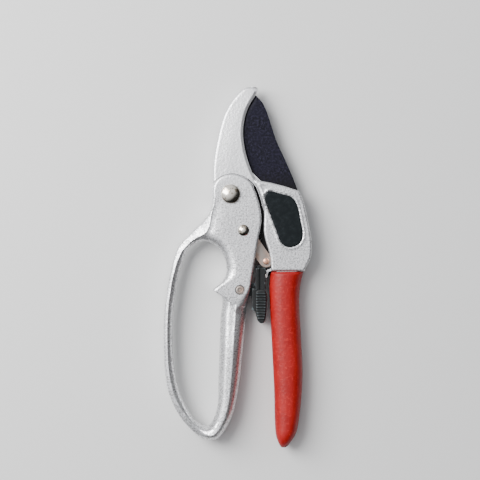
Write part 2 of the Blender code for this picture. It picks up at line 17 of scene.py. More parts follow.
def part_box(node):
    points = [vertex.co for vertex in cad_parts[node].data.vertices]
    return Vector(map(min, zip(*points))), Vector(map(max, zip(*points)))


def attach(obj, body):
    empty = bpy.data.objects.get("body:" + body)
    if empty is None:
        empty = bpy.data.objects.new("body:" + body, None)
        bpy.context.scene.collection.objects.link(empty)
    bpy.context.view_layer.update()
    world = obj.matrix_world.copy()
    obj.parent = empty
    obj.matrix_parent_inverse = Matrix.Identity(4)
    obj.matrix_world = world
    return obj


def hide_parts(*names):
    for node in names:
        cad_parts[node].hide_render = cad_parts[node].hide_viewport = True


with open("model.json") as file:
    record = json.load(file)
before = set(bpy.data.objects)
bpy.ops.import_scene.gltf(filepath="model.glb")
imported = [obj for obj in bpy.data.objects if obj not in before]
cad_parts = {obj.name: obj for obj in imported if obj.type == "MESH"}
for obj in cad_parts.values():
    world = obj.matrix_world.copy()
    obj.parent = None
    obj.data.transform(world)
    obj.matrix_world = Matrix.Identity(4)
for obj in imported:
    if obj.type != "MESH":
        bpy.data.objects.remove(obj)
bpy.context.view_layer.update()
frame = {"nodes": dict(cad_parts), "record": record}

MM = 0.001
JOINTS = {joint["name"]: joint for joint in frame["record"]["behaviour"]["joints"]}
PIVOT = Vector(JOINTS["handle_hinge"]["pos_m"])
TO_FRAME = Matrix.Translation(PIVOT) @ Matrix.Scale(MM, 4)


def joint_place(name):
    """A joint's place in millimetres from the main pivot."""
    place = (Vector(JOINTS[name]["pos_m"]) - PIVOT) / MM
    return (place.x, place.y)


def node_place(node):
    """The middle of a CAD node's box, in millimetres from the main pivot."""
    low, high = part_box(node)
    middle = ((Vector(low) + Vector(high)) / 2 - PIVOT) / MM
    return (middle.x, middle.y)


MAIN = (0.0, 0.0)
BLADE_HINGE = joint_place("blade_hinge")
LINK_HINGE = joint_place("link_hinge")
LATCH_HINGE = joint_place("latch_hinge")
PAWL = node_place("pawl_pin")
SPACER = node_place("link_spacer")
CATCH = node_place("catch_pin")

# Half thicknesses and layers, outwards from the mid-plane
HOOK_Z, HOOK_TIP_Z = 5.0, 3.2
HOUSING_Z, PAST_HOUSING = 7.0, 8.0
WEB_Z, CORE_Z = 3.0, 4.7
CHEEK_IN, CHEEK_OUT = 4.0, 7.4
BAR_Z, GRIP_Z, GUARD_Z = 8.2, 8.2, 5.6
BLADE_Z, SLOT_Z, LINK_END_Z = 1.4, 1.7, 3.5
BADGE_FLOOR, BADGE_BASE, BADGE_TOP = 5.7, 6.0, 6.75
EAR_FRONT, EAR_REAR = (1.9, 2.9), (-3.4, -1.9)
PAD_FRONT, PAD_BACK = 5.05, 5.4
COVER_BACK, COVER_FRONT = 3.9, 4.7
THROUGH = 10.0

# Radii and clearances
WEB_ROUND, WEB_BORE = 11.0, 4.8
BLADE_BOLT_SEAT, LINK_BORE, LATCH_BORE = 4.3, 2.5, 2.9
CORE_CLEARANCE, BADGE_CLEARANCE, BLADE_CLEARANCE = 0.3, 0.25, 0.45

# How far from a line its rows of points lie, and how many points are measured at once
LINE_ROWS = (0.0, 0.06, -0.06, 0.3, -0.3, 0.7, -0.7)
BATCH = 2000
SHARP_ANGLE = math.radians(32.0)

# Outlines about the main pivot: smooth through their points, straight into each corner
CORNER = "corner"
HOOK_INNER = [
    (14.2, 8.5), (11.0, 15.2), (8.0, 25.5), (7.0, 35.8), (9.0, 46.9), (14.4, 57.2, CORNER),
]
HOOK_OUTER = [
    (15.4, 60.2), (11.4, 61.1), (7.0, 59.9), (-0.1, 52.1), (-4.9, 42.1),
    (-8.8, 25.0), (-10.1, 14.6), (-10.2, 6.4, CORNER),
]
HOOK_SEAM = [
    (-8.4, 8.0), (-5.2, 10.3), (-0.1, 11.7), (4.3, 11.2), (8.8, 9.4), (12.7, 6.1),
    (15.9, 1.9, CORNER), (18.0, 2.0, CORNER), (18.0, 6.0, CORNER),
]
HOUSING = [
    (13.4, 7.7), (15.8, 1.9), (17.7, -4.3), (18.8, -9.8), (18.7, -20.8),
    (19.5, -25.7), (21.4, -31.9), (22.5, -37.3), (22.9, -43.6, CORNER),
    (41.6, -43.6, CORNER), (42.8, -41.0), (45.3, -35.5), (45.7, -29.4), (45.3, -23.3),
    (42.5, -9.8), (40.3, -1.8), (37.6, 2.1),
]
GRIP = [
    (22.5, -44.0, CORNER), (22.0, -53.9), (23.2, -81.7), (24.6, -110.0), (25.5, -135.7),
    (27.5, -142.0), (29.9, -144.1), (33.8, -141.3), (37.9, -133.3), (40.8, -105.5),
    (39.8, -77.7), (39.0, -60.0), (39.8, -50.7), (41.4, -44.0, CORNER),
]
GRIP_TIP = GRIP.index((29.9, -144.1))
CORE = [
    (26.2, -38.0, CORNER), (25.9, -54.0), (26.8, -81.0), (28.2, -110.0), (29.2, -133.0),
    (31.5, -136.0), (34.3, -131.0), (37.0, -105.0), (36.2, -78.0), (35.5, -60.0),
    (38.0, -38.0, CORNER),
]
BADGE = [
    (21.5, 1.7), (18.9, -1.5), (21.9, -11.0), (25.9, -21.5), (28.6, -28.0), (33.3, -30.3),
    (38.8, -28.3), (40.9, -23.5), (39.6, -14.5), (37.6, -6.0), (34.5, -1.6), (28.0, 0.4),
]
BLADE_EDGE = [
    (14.2, 56.4, CORNER), (8.4, 46.7), (6.3, 35.8), (7.3, 25.4), (10.3, 15.0), (13.2, 7.5),
]
BLADE_TAIL = [
    (13.0, 1.0), (12.2, -9.0), (13.2, -17.0), (15.6, -26.0), (18.2, -36.0, CORNER),
    (22.9, -40.0, CORNER), (25.0, -40.0, CORNER), (27.0, -33.0), (30.0, -24.0),
    (34.0, -16.5), (37.6, -10.0), (38.6, -3.0),
]
BLADE_SPINE = [(37.5, 3.7), (31.6, 18.0), (26.0, 30.3), (21.3, 44.5), (18.5, 51.3)]
BLADE_NOTCHES = [(17.6, -31.6), (15.6, -25.6), (14.0, -19.8)]
D_OUTER = [
    (-10.0, -1.8), (-10.5, -6.7), (-13.0, -12.3), (-22.1, -21.4), (-30.1, -30.6),
    (-34.4, -45.3), (-37.2, -61.8), (-38.0, -83.0), (-36.0, -109.5), (-28.9, -126.2),
    (-17.8, -137.7), (-12.2, -139.7), (-6.7, -138.5), (0.5, -127.0), (4.5, -109.5),
    (7.2, -84.9), (9.2, -64.2), (11.2, -52.3), (15.5, -25.7), (17.3, -15.3), (16.1, -5.5),
    (12.1, 5.5), (8.5, 8.9), (4.2, 10.7), (-0.1, 11.2), (-5.0, 9.8), (-8.1, 7.4),
    (-9.6, 4.0),
]
D_HOLE = [
    (-14.5, -26.6), (-5.9, -31.6), (-2.3, -41.9), (-4.3, -49.1), (-10.2, -54.2, CORNER),
    (-5.1, -58.6), (-5.9, -70.6), (-7.1, -105.0), (-7.9, -121.4), (-13.0, -131.8),
    (-21.8, -127.0), (-30.9, -106.3), (-33.3, -76.9), (-30.9, -52.3), (-25.7, -33.2),
    (-21.9, -28.9),
]
CHEEK_END = [
    (-12.5, -53.0), (-10.2, -54.3), (-7.0, -56.4), (-4.0, -58.2), (-1.0, -60.9), (1.1, -64.2),
    (2.8, -67.2), (6.5, -68.9), (12.0, -69.5),
]
RIDGE = [
    (-9.2, 7.5), (-9.4, -1.0), (-10.0, -7.0), (-11.2, -13.0), (-12.6, -19.4), (-14.8, -22.3),
    (-20.8, -25.6), (-25.5, -29.8), (-28.7, -34.4), (-31.6, -42.3), (-34.1, -54.0),
    (-35.5, -66.0), (-35.9, -82.0), (-34.9, -101.0), (-31.4, -115.0), (-25.4, -125.5),
    (-17.5, -133.4), (-12.2, -135.8), (-6.6, -133.4), (-2.6, -126.0), (-0.9, -118.0),
    (0.8, -95.0), (2.2, -72.0), (3.0, -64.0),
]
RIDGE_ROUND = [(22.0, -62.0), (24.0, 14.0), (-9.2, 14.0)]
RELIEF = [
    (9.6, 9.4), (12.4, 8.2), (14.4, 4.0), (16.2, -0.6), (17.9, -6.5), (18.7, -11.6), (12.6, -11.6),
    (13.4, -5.0), (12.2, 2.0),
]
HOUSING_SLOT = [
    (13.0, 12.0), (12.4, 6.0), (11.0, -3.0), (10.2, -8.0), (10.8, -14.0), (2.0, -22.0),
    (10.0, -41.5), (26.5, -41.5), (28.2, -33.5), (31.2, -25.0), (35.2, -17.5),
    (39.9, -12.0), (48.0, -6.0), (48.0, 8.0), (30.0, 12.0),
]
WEB_CORNERS = [(12.0, -10.8), (20.5, -10.8), (20.5, 4.0), (12.0, 12.5), (0.0, 14.0)]
CATCH_EAR = [
    (17.6, -46.0), (18.2, -47.2), (19.4, -47.7), (20.5, -47.1), (20.9, -45.5),
    (21.5, -43.9), (24.5, -43.0), (24.5, -42.1), (22.8, -42.1), (19.0, -43.8),
]
PAD = [
    (14.3, -55.2), (13.9, -61.0), (14.2, -67.5), (15.4, -71.8), (17.4, -73.3), (19.1, -72.3),
    (20.1, -67.5), (20.3, -56.5), (19.0, -54.1), (16.0, -54.1),
]
LATCH_COVER = [
    (14.0, -54.5, CORNER), (19.7, -54.5, CORNER), (19.7, -49.2), (20.3, -48.2), (19.6, -46.8),
    (19.6, -45.6), (20.3, -44.4), (19.5, -42.4), (18.6, -41.9), (14.9, -41.9), (14.0, -42.8),
]
LATCH_BLOCK = [
    (12.0, -53.2, CORNER), (12.0, -65.6, CORNER), (15.5, -67.0, CORNER), (15.5, -53.2, CORNER),
]
LATCH_UPRIGHT = [
    (14.0, -54.5, CORNER), (16.6, -54.5, CORNER), (16.3, -45.5), (16.3, -43.4), (16.9, -42.3),
    (17.6, -42.1), (18.3, -42.5), (19.4, -43.9, CORNER), (20.1, -43.5, CORNER), (19.7, -41.1),
    (17.8, -40.3), (15.2, -40.6), (14.0, -41.6),
]
LATCH_ARM = [(7.0, -50.5), (7.0, -57.5), (14.5, -58.0), (14.5, -50.5)]

# (radius, height) profiles of turned pieces, below their domes where they have one
BOLT_SIDE = [(5.3, 8.8), (5.3, 8.5), (5.1, 8.4), (3.0, 8.4), (3.0, -7.9), (0, -7.9)]
RIVET_SIDE = [(3.2, 7.7), (2.2, 7.7), (2.2, -6.6), (2.8, -6.6), (2.8, -7.2), (0, -7.3)]
PIN_SIDE = [(1.8, 3.6), (1.8, 3.3), (1.4, 3.3), (1.4, -3.0), (0, -3.0)]
WASHER_PROFILE = [(5.3, 8.1), (5.4, 8.0), (5.4, 7.75), (5.3, 7.7), (3.3, 7.7), (3.3, 8.1)]
SCREW_PROFILE = [
    (0, 6.5), (0.9, 6.5), (1.15, 6.88), (1.6, 6.95), (2.15, 6.88), (2.5, 6.65), (2.6, 6.45),
    (2.6, 6.3), (1.5, 6.3), (1.5, -6.6), (0, -6.6),
]


# ---- outlines ----

def dense(points, spacing=0.7):
    """A closed Catmull-Rom loop through the points, straight into each corner."""
    count = len(points)
    loop = []
    for index in range(count):
        start, end = points[index], points[(index + 1) % count]
        p1, p2 = np.array(start[:2]), np.array(end[:2])
        length = np.linalg.norm(p2 - p1)
        before = p1 - (p2 - p1) if len(start) > 2 else np.array(points[index - 1][:2])
        after = p2 + (p2 - p1) if len(end) > 2 else np.array(points[(index + 2) % count][:2])
        along_1 = (p2 - before) / max(np.linalg.norm(p1 - before) + length, 1e-6) * length
        along_2 = (after - p1) / max(np.linalg.norm(after - p2) + length, 1e-6) * length
        steps = max(int(round(length / spacing)), 1)
        for t in np.arange(steps) / steps:
            h1, h2 = 2 * t**3 - 3 * t**2 + 1, t**3 - 2 * t**2 + t
            h3, h4 = 3 * t**2 - 2 * t**3, t**3 - t**2
            loop.append(h1 * p1 + h2 * along_1 + h3 * p2 + h4 * along_2)
    return np.array(loop)


def open_line(points, spacing=0.7):
    """The same smooth curve through an open row of points."""
    ends = [(*points[0][:2], CORNER), *points[1:-1], (*points[-1][:2], CORNER)]
    last = np.array([points[-1][:2]])
    row = dense(ends, spacing)
    stop = int(np.argmin(np.linalg.norm(row - last, axis=1)))
    return row[: stop + 1]


def arc(centre, radius, start, end, steps):
    """Points along an arc between two angles in degrees."""
    turn = np.radians(np.linspace(start, end, steps + 1))
    return np.column_stack([centre[0] + radius * np.cos(turn), centre[1] + radius * np.sin(turn)])


def disc(centre, radius, steps=48):
    """Points round a full circle."""
    return arc(centre, radius, 0, 360, steps)[:-1]


def side_directions(row, closed):
    """The unit direction to the left of a row of points, at each of them."""
    if closed:
        tangent = np.roll(row, -1, axis=0) - np.roll(row, 1, axis=0)
    else:
        tangent = np.gradient(row, axis=0)
    tangent /= np.maximum(np.linalg.norm(tangent, axis=1, keepdims=True), 1e-9)
    return np.column_stack([-tangent[:, 1], tangent[:, 0]])


def grown_loop(loop, reach):
    """The loop moved outwards everywhere, or inwards for a negative reach."""
    area = (loop[:, 0] * np.roll(loop[:, 1], -1) - np.roll(loop[:, 0], -1) * loop[:, 1]).sum()
    return loop - np.sign(area) * reach * side_directions(loop, closed=True)


def distance(points, line, closed=True):
    """The distance from each point to a polyline."""
    start = line if closed else line[:-1]
    end = np.roll(line, -1, axis=0) if closed else line[1:]
    best = np.full(len(points), np.inf)
    along = end - start
    squared = np.maximum((along**2).sum(axis=1), 1e-12)
    for first in range(0, len(points), BATCH):
        part = points[first : first + BATCH, None, :] - start[None]
        t = np.clip((part * along).sum(axis=2) / squared, 0, 1)
        gap = part - t[..., None] * along
        best[first : first + BATCH] = np.sqrt((gap**2).sum(axis=2)).min(axis=1)
    return best


def nearest(points, loops):
    """The distance from each point to the nearest of the loops."""
    return np.min([distance(points, loop) for loop in loops], axis=0)


def inside(points, loops):
    """Whether each point is inside the outer loop and outside the holes."""
    odd = np.zeros(len(points), bool)
    for loop in loops:
        x1, y1 = loop[:, 0], loop[:, 1]
        x2, y2 = np.roll(x1, -1), np.roll(y1, -1)
        for first in range(0, len(points), BATCH):
            x = points[first : first + BATCH, 0:1]
            y = points[first : first + BATCH, 1:2]
            crosses = (y1 > y) != (y2 > y)
            at = x1 + (y - y1) * (x2 - x1) / np.where(y2 == y1, 1e-12, y2 - y1)
            odd[first : first + BATCH] ^= (crosses & (x < at)).sum(axis=1) % 2 == 1
    return odd


# ---- heights ----

def ease(value, start, end):
    """A smooth change from 0 to 1 as the value goes from start to end."""
    t = np.clip((np.asarray(value, float) - start) / (end - start), 0, 1)
    return t * t * (3 - 2 * t)


def swell(value, middle, width):
    """A smooth bead: 1 at the middle value, fading out over the width."""
    return np.exp(-(((value - middle) / width) ** 2))


def rounded(gap, radius, power=2.0):
    """How far below the flat a rounded edge lies, at a distance from the outline."""
    t = 1 - np.clip(gap / radius, 0, 1)
    return radius * (1 - np.power(np.maximum(1 - t**power, 0), 1 / power))


def mirrored(height):
    """The same height field on the other side of the mid-plane."""
    def below(p):
        return -height(p)

    return below


# ---- meshes ----

def clear_points(points, loops, gap):
    """The points inside the outline that lie further than the gap from its edges."""
    points = points[inside(points, loops)]
    return points[nearest(points, loops) > gap]


def even_field(loops, spacing):
    """Evenly staggered points over the outline."""
    low, high = loops[0].min(axis=0), loops[0].max(axis=0)
    xs = np.arange(low[0], high[0], spacing)
    ys = np.arange(low[1], high[1], spacing * 0.87)
    field = np.array([(x + (j % 2) * spacing / 2, y) for j, y in enumerate(ys) for x in xs])
    return field[inside(field, loops)]


def lay_points(loops, rings, spacing, lines=()):
    """Outline points, rows beside the outline and the lines, and an even field between."""
    points = [np.vstack(loops)]
    for line in lines:
        normal = side_directions(line, closed=False)
        for reach in LINE_ROWS:
            points.append(clear_points(line + normal * reach, loops, 0.25))
    for reach in rings:
        for loop in loops:
            normal = side_directions(loop, closed=True)
            for side in (1, -1):
                points.append(clear_points(loop + side * normal * reach, loops, reach * 0.96))
    field = even_field(loops, spacing)
    clear = nearest(field, loops) > rings[-1] + spacing * 0.55
    for line in lines:
        clear &= distance(field, line, closed=False) > max(LINE_ROWS) + spacing * 0.4
    points.append(field[clear])
    return np.vstack(points)


def filled_outline(loops, points):
    """Triangles through the points and over the outline, all facing up."""
    edges = []
    first = 0
    for loop in loops:
        edges += [(first + i, first + (i + 1) % len(loop)) for i in range(len(loop))]
        first += len(loop)
    result = delaunay_2d_cdt([Vector(p) for p in points], edges, [], 1, 1e-5)
    flat = np.array([tuple(v) for v in result[0]])
    faces = np.array(result[2])
    faces = faces[inside(flat[faces].mean(axis=1), loops)]
    corners = flat[faces]
    side_1, side_2 = corners[:, 1] - corners[:, 0], corners[:, 2] - corners[:, 0]
    flipped = side_1[:, 0] * side_2[:, 1] - side_1[:, 1] * side_2[:, 0] < 0
    faces[flipped] = faces[flipped][:, ::-1]
    used, index = np.unique(faces, return_inverse=True)
    return flat[used], index.reshape(-1, 3)


def height_solid(name, loops, front, back, rings, spacing=1.6, lines=()):
    """A closed mesh between two height fields over an outline, walled at its edge."""
    flat, faces = filled_outline(loops, lay_points(loops, rings, spacing, lines))
    count = len(flat)
    top = np.column_stack([flat, front(flat)])
    bottom = np.column_stack([flat, back(flat)])
    directed = set()
    for a, b, c in faces.tolist():
        directed |= {(a, b), (b, c), (c, a)}
    rim = sorted((a, b) for a, b in directed if (b, a) not in directed)
    walls = [(b, a, a + count, b + count) for a, b in rim]
    all_faces = faces.tolist() + (faces[:, ::-1] + count).tolist() + walls
    mesh = bpy.data.meshes.new(name)
    mesh.from_pydata(np.vstack([top, bottom]).tolist(), [], all_faces)
    work = bmesh.new()
    work.from_mesh(mesh)
    bmesh.ops.remove_doubles(work, verts=work.verts, dist=0.004)
    bmesh.ops.recalc_face_normals(work, faces=work.faces)
    work.to_mesh(mesh)
    work.free()
    return mesh


def prism(name, outline, low, high):
    """A straight-walled solid over an outline, mostly used to cut a slot."""
    work = bmesh.new()
    bottom = [work.verts.new((*point[:2], low)) for point in outline]
    top = [work.verts.new((*point[:2], high)) for point in outline]
    count = len(outline)
    for i in range(count):
        j = (i + 1) % count
        work.faces.new((bottom[i], bottom[j], top[j], top[i]))
    work.faces.new(top)
    work.faces.new(bottom[::-1])
    bmesh.ops.triangulate(work, faces=[f for f in work.faces if len(f.verts) > 4])
    bmesh.ops.recalc_face_normals(work, faces=work.faces)
    mesh = bpy.data.meshes.new(name)
    work.to_mesh(mesh)
    work.free()
    return mesh


def dome_profile(radius, base, height, count=10):
    """The (radius, height) points of a shallow dome, from its top to its rim."""
    sphere = (radius**2 + height**2) / (2 * height)
    reach = math.asin(radius / sphere)
    crown = base + height - sphere
    angles = [reach * i / count for i in range(count + 1)]
    return [(sphere * math.sin(a), crown + sphere * math.cos(a)) for a in angles]


def turned(name, profile, centre, steps=72):
    """A turned solid from (radius, height) points run from the top axis to the bottom one."""
    work = bmesh.new()
    rows = []
    for radius, height in profile:
        if radius < 1e-6:
            rows.append([work.verts.new((*centre, height))])
            continue
        places = [(centre[0] + x * radius, centre[1] + y * radius) for x, y in disc((0, 0), 1.0, steps)]
        rows.append([work.verts.new((*place, height)) for place in places])
    closed = len(rows[0]) > 1
    pairs = list(zip(rows, rows[1:])) + ([(rows[-1], rows[0])] if closed else [])
    for upper, lower in pairs:
        for i in range(steps):
            j = (i + 1) % steps
            ring = [upper[i % len(upper)], lower[i % len(lower)], lower[j % len(lower)],
                    upper[j % len(upper)]]
            work.faces.new(list(dict.fromkeys(ring)))
    bmesh.ops.recalc_face_normals(work, faces=work.faces)
    mesh = bpy.data.meshes.new(name)
    work.to_mesh(mesh)
    work.free()
    return mesh


def boolean(mesh, others, operation):
    """The mesh after a Boolean with each of the others in turn."""
    obj = bpy.data.objects.new("work", mesh)
    bpy.context.scene.collection.objects.link(obj)
    helpers = []
    for other in others:
        helper = bpy.data.objects.new("helper", other)
        bpy.context.scene.collection.objects.link(helper)
        helpers.append(helper)
        modifier = obj.modifiers.new("Shape", "BOOLEAN")
        modifier.operation = operation
        modifier.solver = "MANIFOLD"
        modifier.object = helper
    graph = bpy.context.evaluated_depsgraph_get()
    result = bpy.data.meshes.new_from_object(obj.evaluated_get(graph))
    for helper in [obj, *helpers]:
        bpy.data.objects.remove(helper, do_unlink=True)
    return result


def piece(mesh, name, body, material, replaced):
    mesh.transform(TO_FRAME)
    obj = bpy.data.objects.new(name, mesh)
    bpy.context.scene.collection.objects.link(obj)
    mesh.materials.clear()
    mesh.materials.append(material)
    mesh.shade_smooth()
    mesh.set_sharp_from_angle(angle=SHARP_ANGLE)
    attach(obj, body)
    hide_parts(*replaced)
    return obj


# ---- materials ----

class Look:
    """A Principled material with small helpers for procedural detail, in object space."""

    def __init__(self, name, color, roughness, metallic=0.0):
        self.material = bpy.data.materials.new(name)
        self.material.use_nodes = True
        self.nodes = self.material.node_tree.nodes
        self.links = self.material.node_tree.links
        self.shader = self.nodes["Principled BSDF"]
        self.hold("Base Color", (*color, 1))
        self.hold("Roughness", roughness)
        self.hold("Metallic", metallic)
        self.place = self.nodes.new("ShaderNodeTexCoord").outputs["Object"]
        self.last_bump = None

    def hold(self, socket, value):
        """Gives the shader a value that is the same over the whole surface."""
        self.shader.inputs[socket].default_value = value

    def vary(self, socket, value):
        """Gives the shader a value that changes over the surface."""
        self.links.new(value, self.shader.inputs[socket])

    def stretched(self, scale):
        """Coordinates for a grain that runs one way."""
        mapping = self.nodes.new("ShaderNodeMapping")
        mapping.inputs["Scale"].default_value = scale
        self.links.new(self.place, mapping.inputs["Vector"])
        return mapping.outputs["Vector"]

    def noise(self, size_mm, detail=3.0, roughness=0.55, vector=None):
        """Cloudy noise with features of about this size."""
        node = self.nodes.new("ShaderNodeTexNoise")
        node.inputs["Scale"].default_value = 1 / (size_mm * MM)
        node.inputs["Detail"].default_value = detail
        node.inputs["Roughness"].default_value = roughness
        self.links.new(vector or self.place, node.inputs["Vector"])
        return node.outputs["Fac"]

    def cells(self, size_mm, smoothness=0.6):
        """Soft round pits or pebbles of about this size."""
        node = self.nodes.new("ShaderNodeTexVoronoi")
        node.feature = "SMOOTH_F1"
        node.inputs["Scale"].default_value = 1 / (size_mm * MM)
        node.inputs["Smoothness"].default_value = smoothness
        self.links.new(self.place, node.inputs["Vector"])
        return node.outputs["Distance"]

    def remap(self, value, low, high, to_low, to_high):
        """A smooth change from one result to the other between two values."""
        node = self.nodes.new("ShaderNodeMapRange")
        node.interpolation_type = "SMOOTHSTEP"
        for name, number in zip(("From Min", "From Max", "To Min", "To Max"),
                                (low, high, to_low, to_high)):
            node.inputs[name].default_value = number
        self.links.new(value, node.inputs["Value"])
        return node.outputs["Result"]

    def along(self, low_mm, high_mm):
        """0 below one distance along the tool from the main pivot, 1 above the other."""
        split = self.nodes.new("ShaderNodeSeparateXYZ")
        self.links.new(self.place, split.inputs[0])
        low, high = PIVOT.y + low_mm * MM, PIVOT.y + high_mm * MM
        return self.remap(split.outputs["Y"], low, high, 0.0, 1.0)

    def product(self, a, b):
        """Two varying values multiplied."""
        node = self.nodes.new("ShaderNodeMath")
        node.operation = "MULTIPLY"
        self.links.new(a, node.inputs[0])
        self.links.new(b, node.inputs[1])
        return node.outputs["Value"]

    def colors(self, factor, low, high):
        """A mix of two colours, each a fixed one or one that varies."""
        node = self.nodes.new("ShaderNodeMix")
        node.data_type = "RGBA"
        self.links.new(factor, node.inputs["Factor"])
        for socket, value in ((node.inputs["A"], low), (node.inputs["B"], high)):
            if isinstance(value, tuple):
                socket.default_value = (*value, 1)
            else:
                self.links.new(value, socket)
        return node.outputs["Result"]

    def edges(self, low, high):
        """0 below one pointedness and 1 above the other, where a flat has 0.5."""
        geometry = self.nodes.new("ShaderNodeNewGeometry")
        return self.remap(geometry.outputs["Pointiness"], low, high, 0.0, 1.0)

    def bump(self, height, depth_mm, strength=1.0):
        """Adds a fine relief to those that the material has so far."""
        node = self.nodes.new("ShaderNodeBump")
        node.inputs["Strength"].default_value = strength
        node.inputs["Distance"].default_value = depth_mm * MM
        self.links.new(height, node.inputs["Height"])
        if self.last_bump:
            self.links.new(self.last_bump, node.inputs["Normal"])
        self.last_bump = node.outputs["Normal"]
        self.links.new(self.last_bump, self.shader.inputs["Normal"])


def shaded(color, *shares):
    """The colour with all its channels scaled by one share, or each by its own."""
    if len(shares) == 1:
        shares = shares * 3
    return tuple(c * share for c, share in zip(color, shares))


def hammered_paint():
    """Metallic paint over a sand-textured casting: dark pits, sparkle, painted shade in its creases and
    rubbed edges.
    """
    color, grain, depth = (0.86, 0.86, 0.87), 0.8, 0.10
    pit_and_shade, dull = shaded(color, 0.36), shaded(color, 0.82)
    sparkle, bare = (0.97, 0.97, 0.98), (0.88, 0.88, 0.89)
    look = Look("hammered_silver_paint", color, 0.40, 0.85)
    look.hold("Coat Weight", 0.15)
    look.hold("Coat Roughness", 0.25)
    speckle = look.noise(grain * 1.15, 3.0, 0.75)
    clouds = look.remap(look.noise(14.0, 3.0), 0.3, 0.7, 0.0, 0.5)
    painted = look.colors(clouds, color, dull)
    coarse = look.remap(look.along(-4.0, 16.0), 0.0, 1.0, 1.0, 0.3)
    pits = look.product(look.remap(speckle, 0.38, 0.55, 0.95, 0.0), coarse)
    painted = look.colors(pits, painted, pit_and_shade)
    painted = look.colors(look.remap(speckle, 0.55, 0.70, 0.0, 0.9), painted, sparkle)
    # Painted shade: concave creases are darkened towards the pit colour.
    crease_shade = look.remap(look.edges(0.44, 0.49), 0.0, 1.0, 0.65, 0.0)
    painted = look.colors(crease_shade, painted, pit_and_shade)
    worn = look.product(look.edges(0.53, 0.60), look.noise(2.2, 4.0, 0.7))
    look.vary("Base Color", look.colors(worn, painted, bare))
    look.vary("Roughness", look.remap(speckle, 0.3, 0.7, 0.50, 0.26))
    look.bump(look.cells(grain * 1.5, 0.8), depth, 0.7)
    look.bump(speckle, depth, 0.6)
    look.bump(look.noise(9.0, 2.0), 0.06, 0.4)
    return look.material


def red_vinyl():
    """Dipped vinyl: a fine pebble, a little colour drift and rubbed patches."""
    deep, bright, rubbed = (0.26, 0.002, 0.002), (0.33, 0.004, 0.003), (0.46, 0.02, 0.015)
    look = Look("red_vinyl", (0.29, 0.003, 0.002), 0.48)
    look.hold("Specular IOR Level", 0.35)
    look.hold("Subsurface Weight", 0.04)
    look.hold("Subsurface Scale", 0.002)
    fine = look.noise(1.3, 3.0, 0.65)
    broad = look.noise(11.0, 3.0)
    drift = look.colors(look.remap(broad, 0.3, 0.7, 0.0, 1.0), deep, bright)
    look.vary("Base Color", look.colors(look.remap(fine, 0.52, 0.72, 0.0, 0.8), drift, rubbed))
    look.vary("Roughness", look.remap(broad, 0.3, 0.7, 0.46, 0.58))
    look.bump(look.cells(1.3, 0.7), 0.13, 0.7)
    look.bump(fine, 0.08, 0.5)
    return look.material


def black_gloss():
    """The badge's gloss black, a little hazy and not quite flat."""
    deep, hazy = (0.002, 0.004, 0.005), (0.008, 0.012, 0.014)
    look = Look("black_gloss_badge", (0.003, 0.005, 0.006), 0.22)
    look.hold("Specular IOR Level", 0.22)
    haze = look.noise(3.0, 5.0, 0.7)
    look.vary("Roughness", look.remap(haze, 0.35, 0.75, 0.16, 0.34))
    look.vary("Base Color", look.colors(look.remap(haze, 0.4, 0.8, 0.0, 1.0), deep, hazy))
    look.bump(look.noise(2.5, 2.0), 0.02, 0.35)
    return look.material


def coated_blade():
    """Black non-stick coating: blue-black, finely stippled, with painted shade near the housing and
    ground steel at its edge.
    """
    dark, blue = (0.003, 0.003, 0.006), (0.030, 0.027, 0.052)
    dull, housing_shade = (0.009, 0.008, 0.018), (0.005, 0.0045, 0.005)
    ground = (0.30, 0.30, 0.32)
    look = Look("coated_blade", (0.006, 0.006, 0.012), 0.5, 0.1)
    look.hold("Specular IOR Level", 0.12)
    grain = look.noise(1.2, 5.0, 0.75)
    drift = look.noise(7.0, 3.0)
    brushed = look.noise(1.0, 2.0, 0.5, look.stretched((6.0, 0.35, 1.0)))
    coat = look.colors(look.remap(grain, 0.42, 0.72, 0.0, 1.0), dark, blue)
    coat = look.colors(look.remap(drift, 0.35, 0.7, 0.0, 0.5), coat, dull)
    # Painted shade: the blade darkens towards the housing, from 16 mm above the main pivot downwards.
    coat = look.colors(look.along(0.0, 16.0), housing_shade, coat)
    rub = look.product(look.edges(0.535, 0.60), look.remap(brushed, 0.4, 0.65, 0.2, 0.9))
    look.vary("Base Color", look.colors(rub, coat, ground))
    look.vary("Metallic", look.remap(rub, 0.0, 1.0, 0.1, 0.9))
    look.vary("Roughness", look.remap(grain, 0.3, 0.75, 0.52, 0.34))
    look.bump(grain, 0.03, 0.5)
    look.bump(brushed, 0.015, 0.35)
    return look.material


def plated(name, color, roughness):
    """Bright plating with a light smear and a few brown tarnished patches."""
    look = Look(name, color, roughness, 1.0)
    smear = look.noise(1.1, 4.0, 0.7)
    look.vary("Roughness", look.remap(smear, 0.35, 0.75, roughness, roughness + 0.16))
    smeared = look.colors(look.remap(smear, 0.45, 0.8, 0.0, 1.0), color, shaded(color, 0.82))
    patches = look.remap(look.noise(3.0, 2.0), 0.50, 0.62, 0.0, 0.85)
    look.vary("Base Color", look.colors(patches, smeared, shaded(color, 0.34, 0.28, 0.22)))
    look.bump(look.noise(0.8, 3.0), 0.012, 0.4)
    return look.material


def plain_steel(name, color, roughness):
    """Stamped steel or bronze with rolling lines and brown heat colour."""
    look = Look(name, color, roughness, 0.85)
    lines = look.noise(0.7, 3.0, 0.6, look.stretched((0.25, 1.6, 1.0)))
    stain = look.remap(look.noise(3.2, 4.0, 0.65), 0.38, 0.68, 0.0, 1.0)
    base = look.colors(stain, color, shaded(color, 1.15, 0.92, 0.82))
    look.vary("Base Color", look.colors(look.edges(0.52, 0.60), base, shaded(color, 1.7)))
    look.vary("Roughness", look.remap(lines, 0.3, 0.7, roughness - 0.10, roughness + 0.14))
    look.bump(lines, 0.015, 0.5)
    return look.material


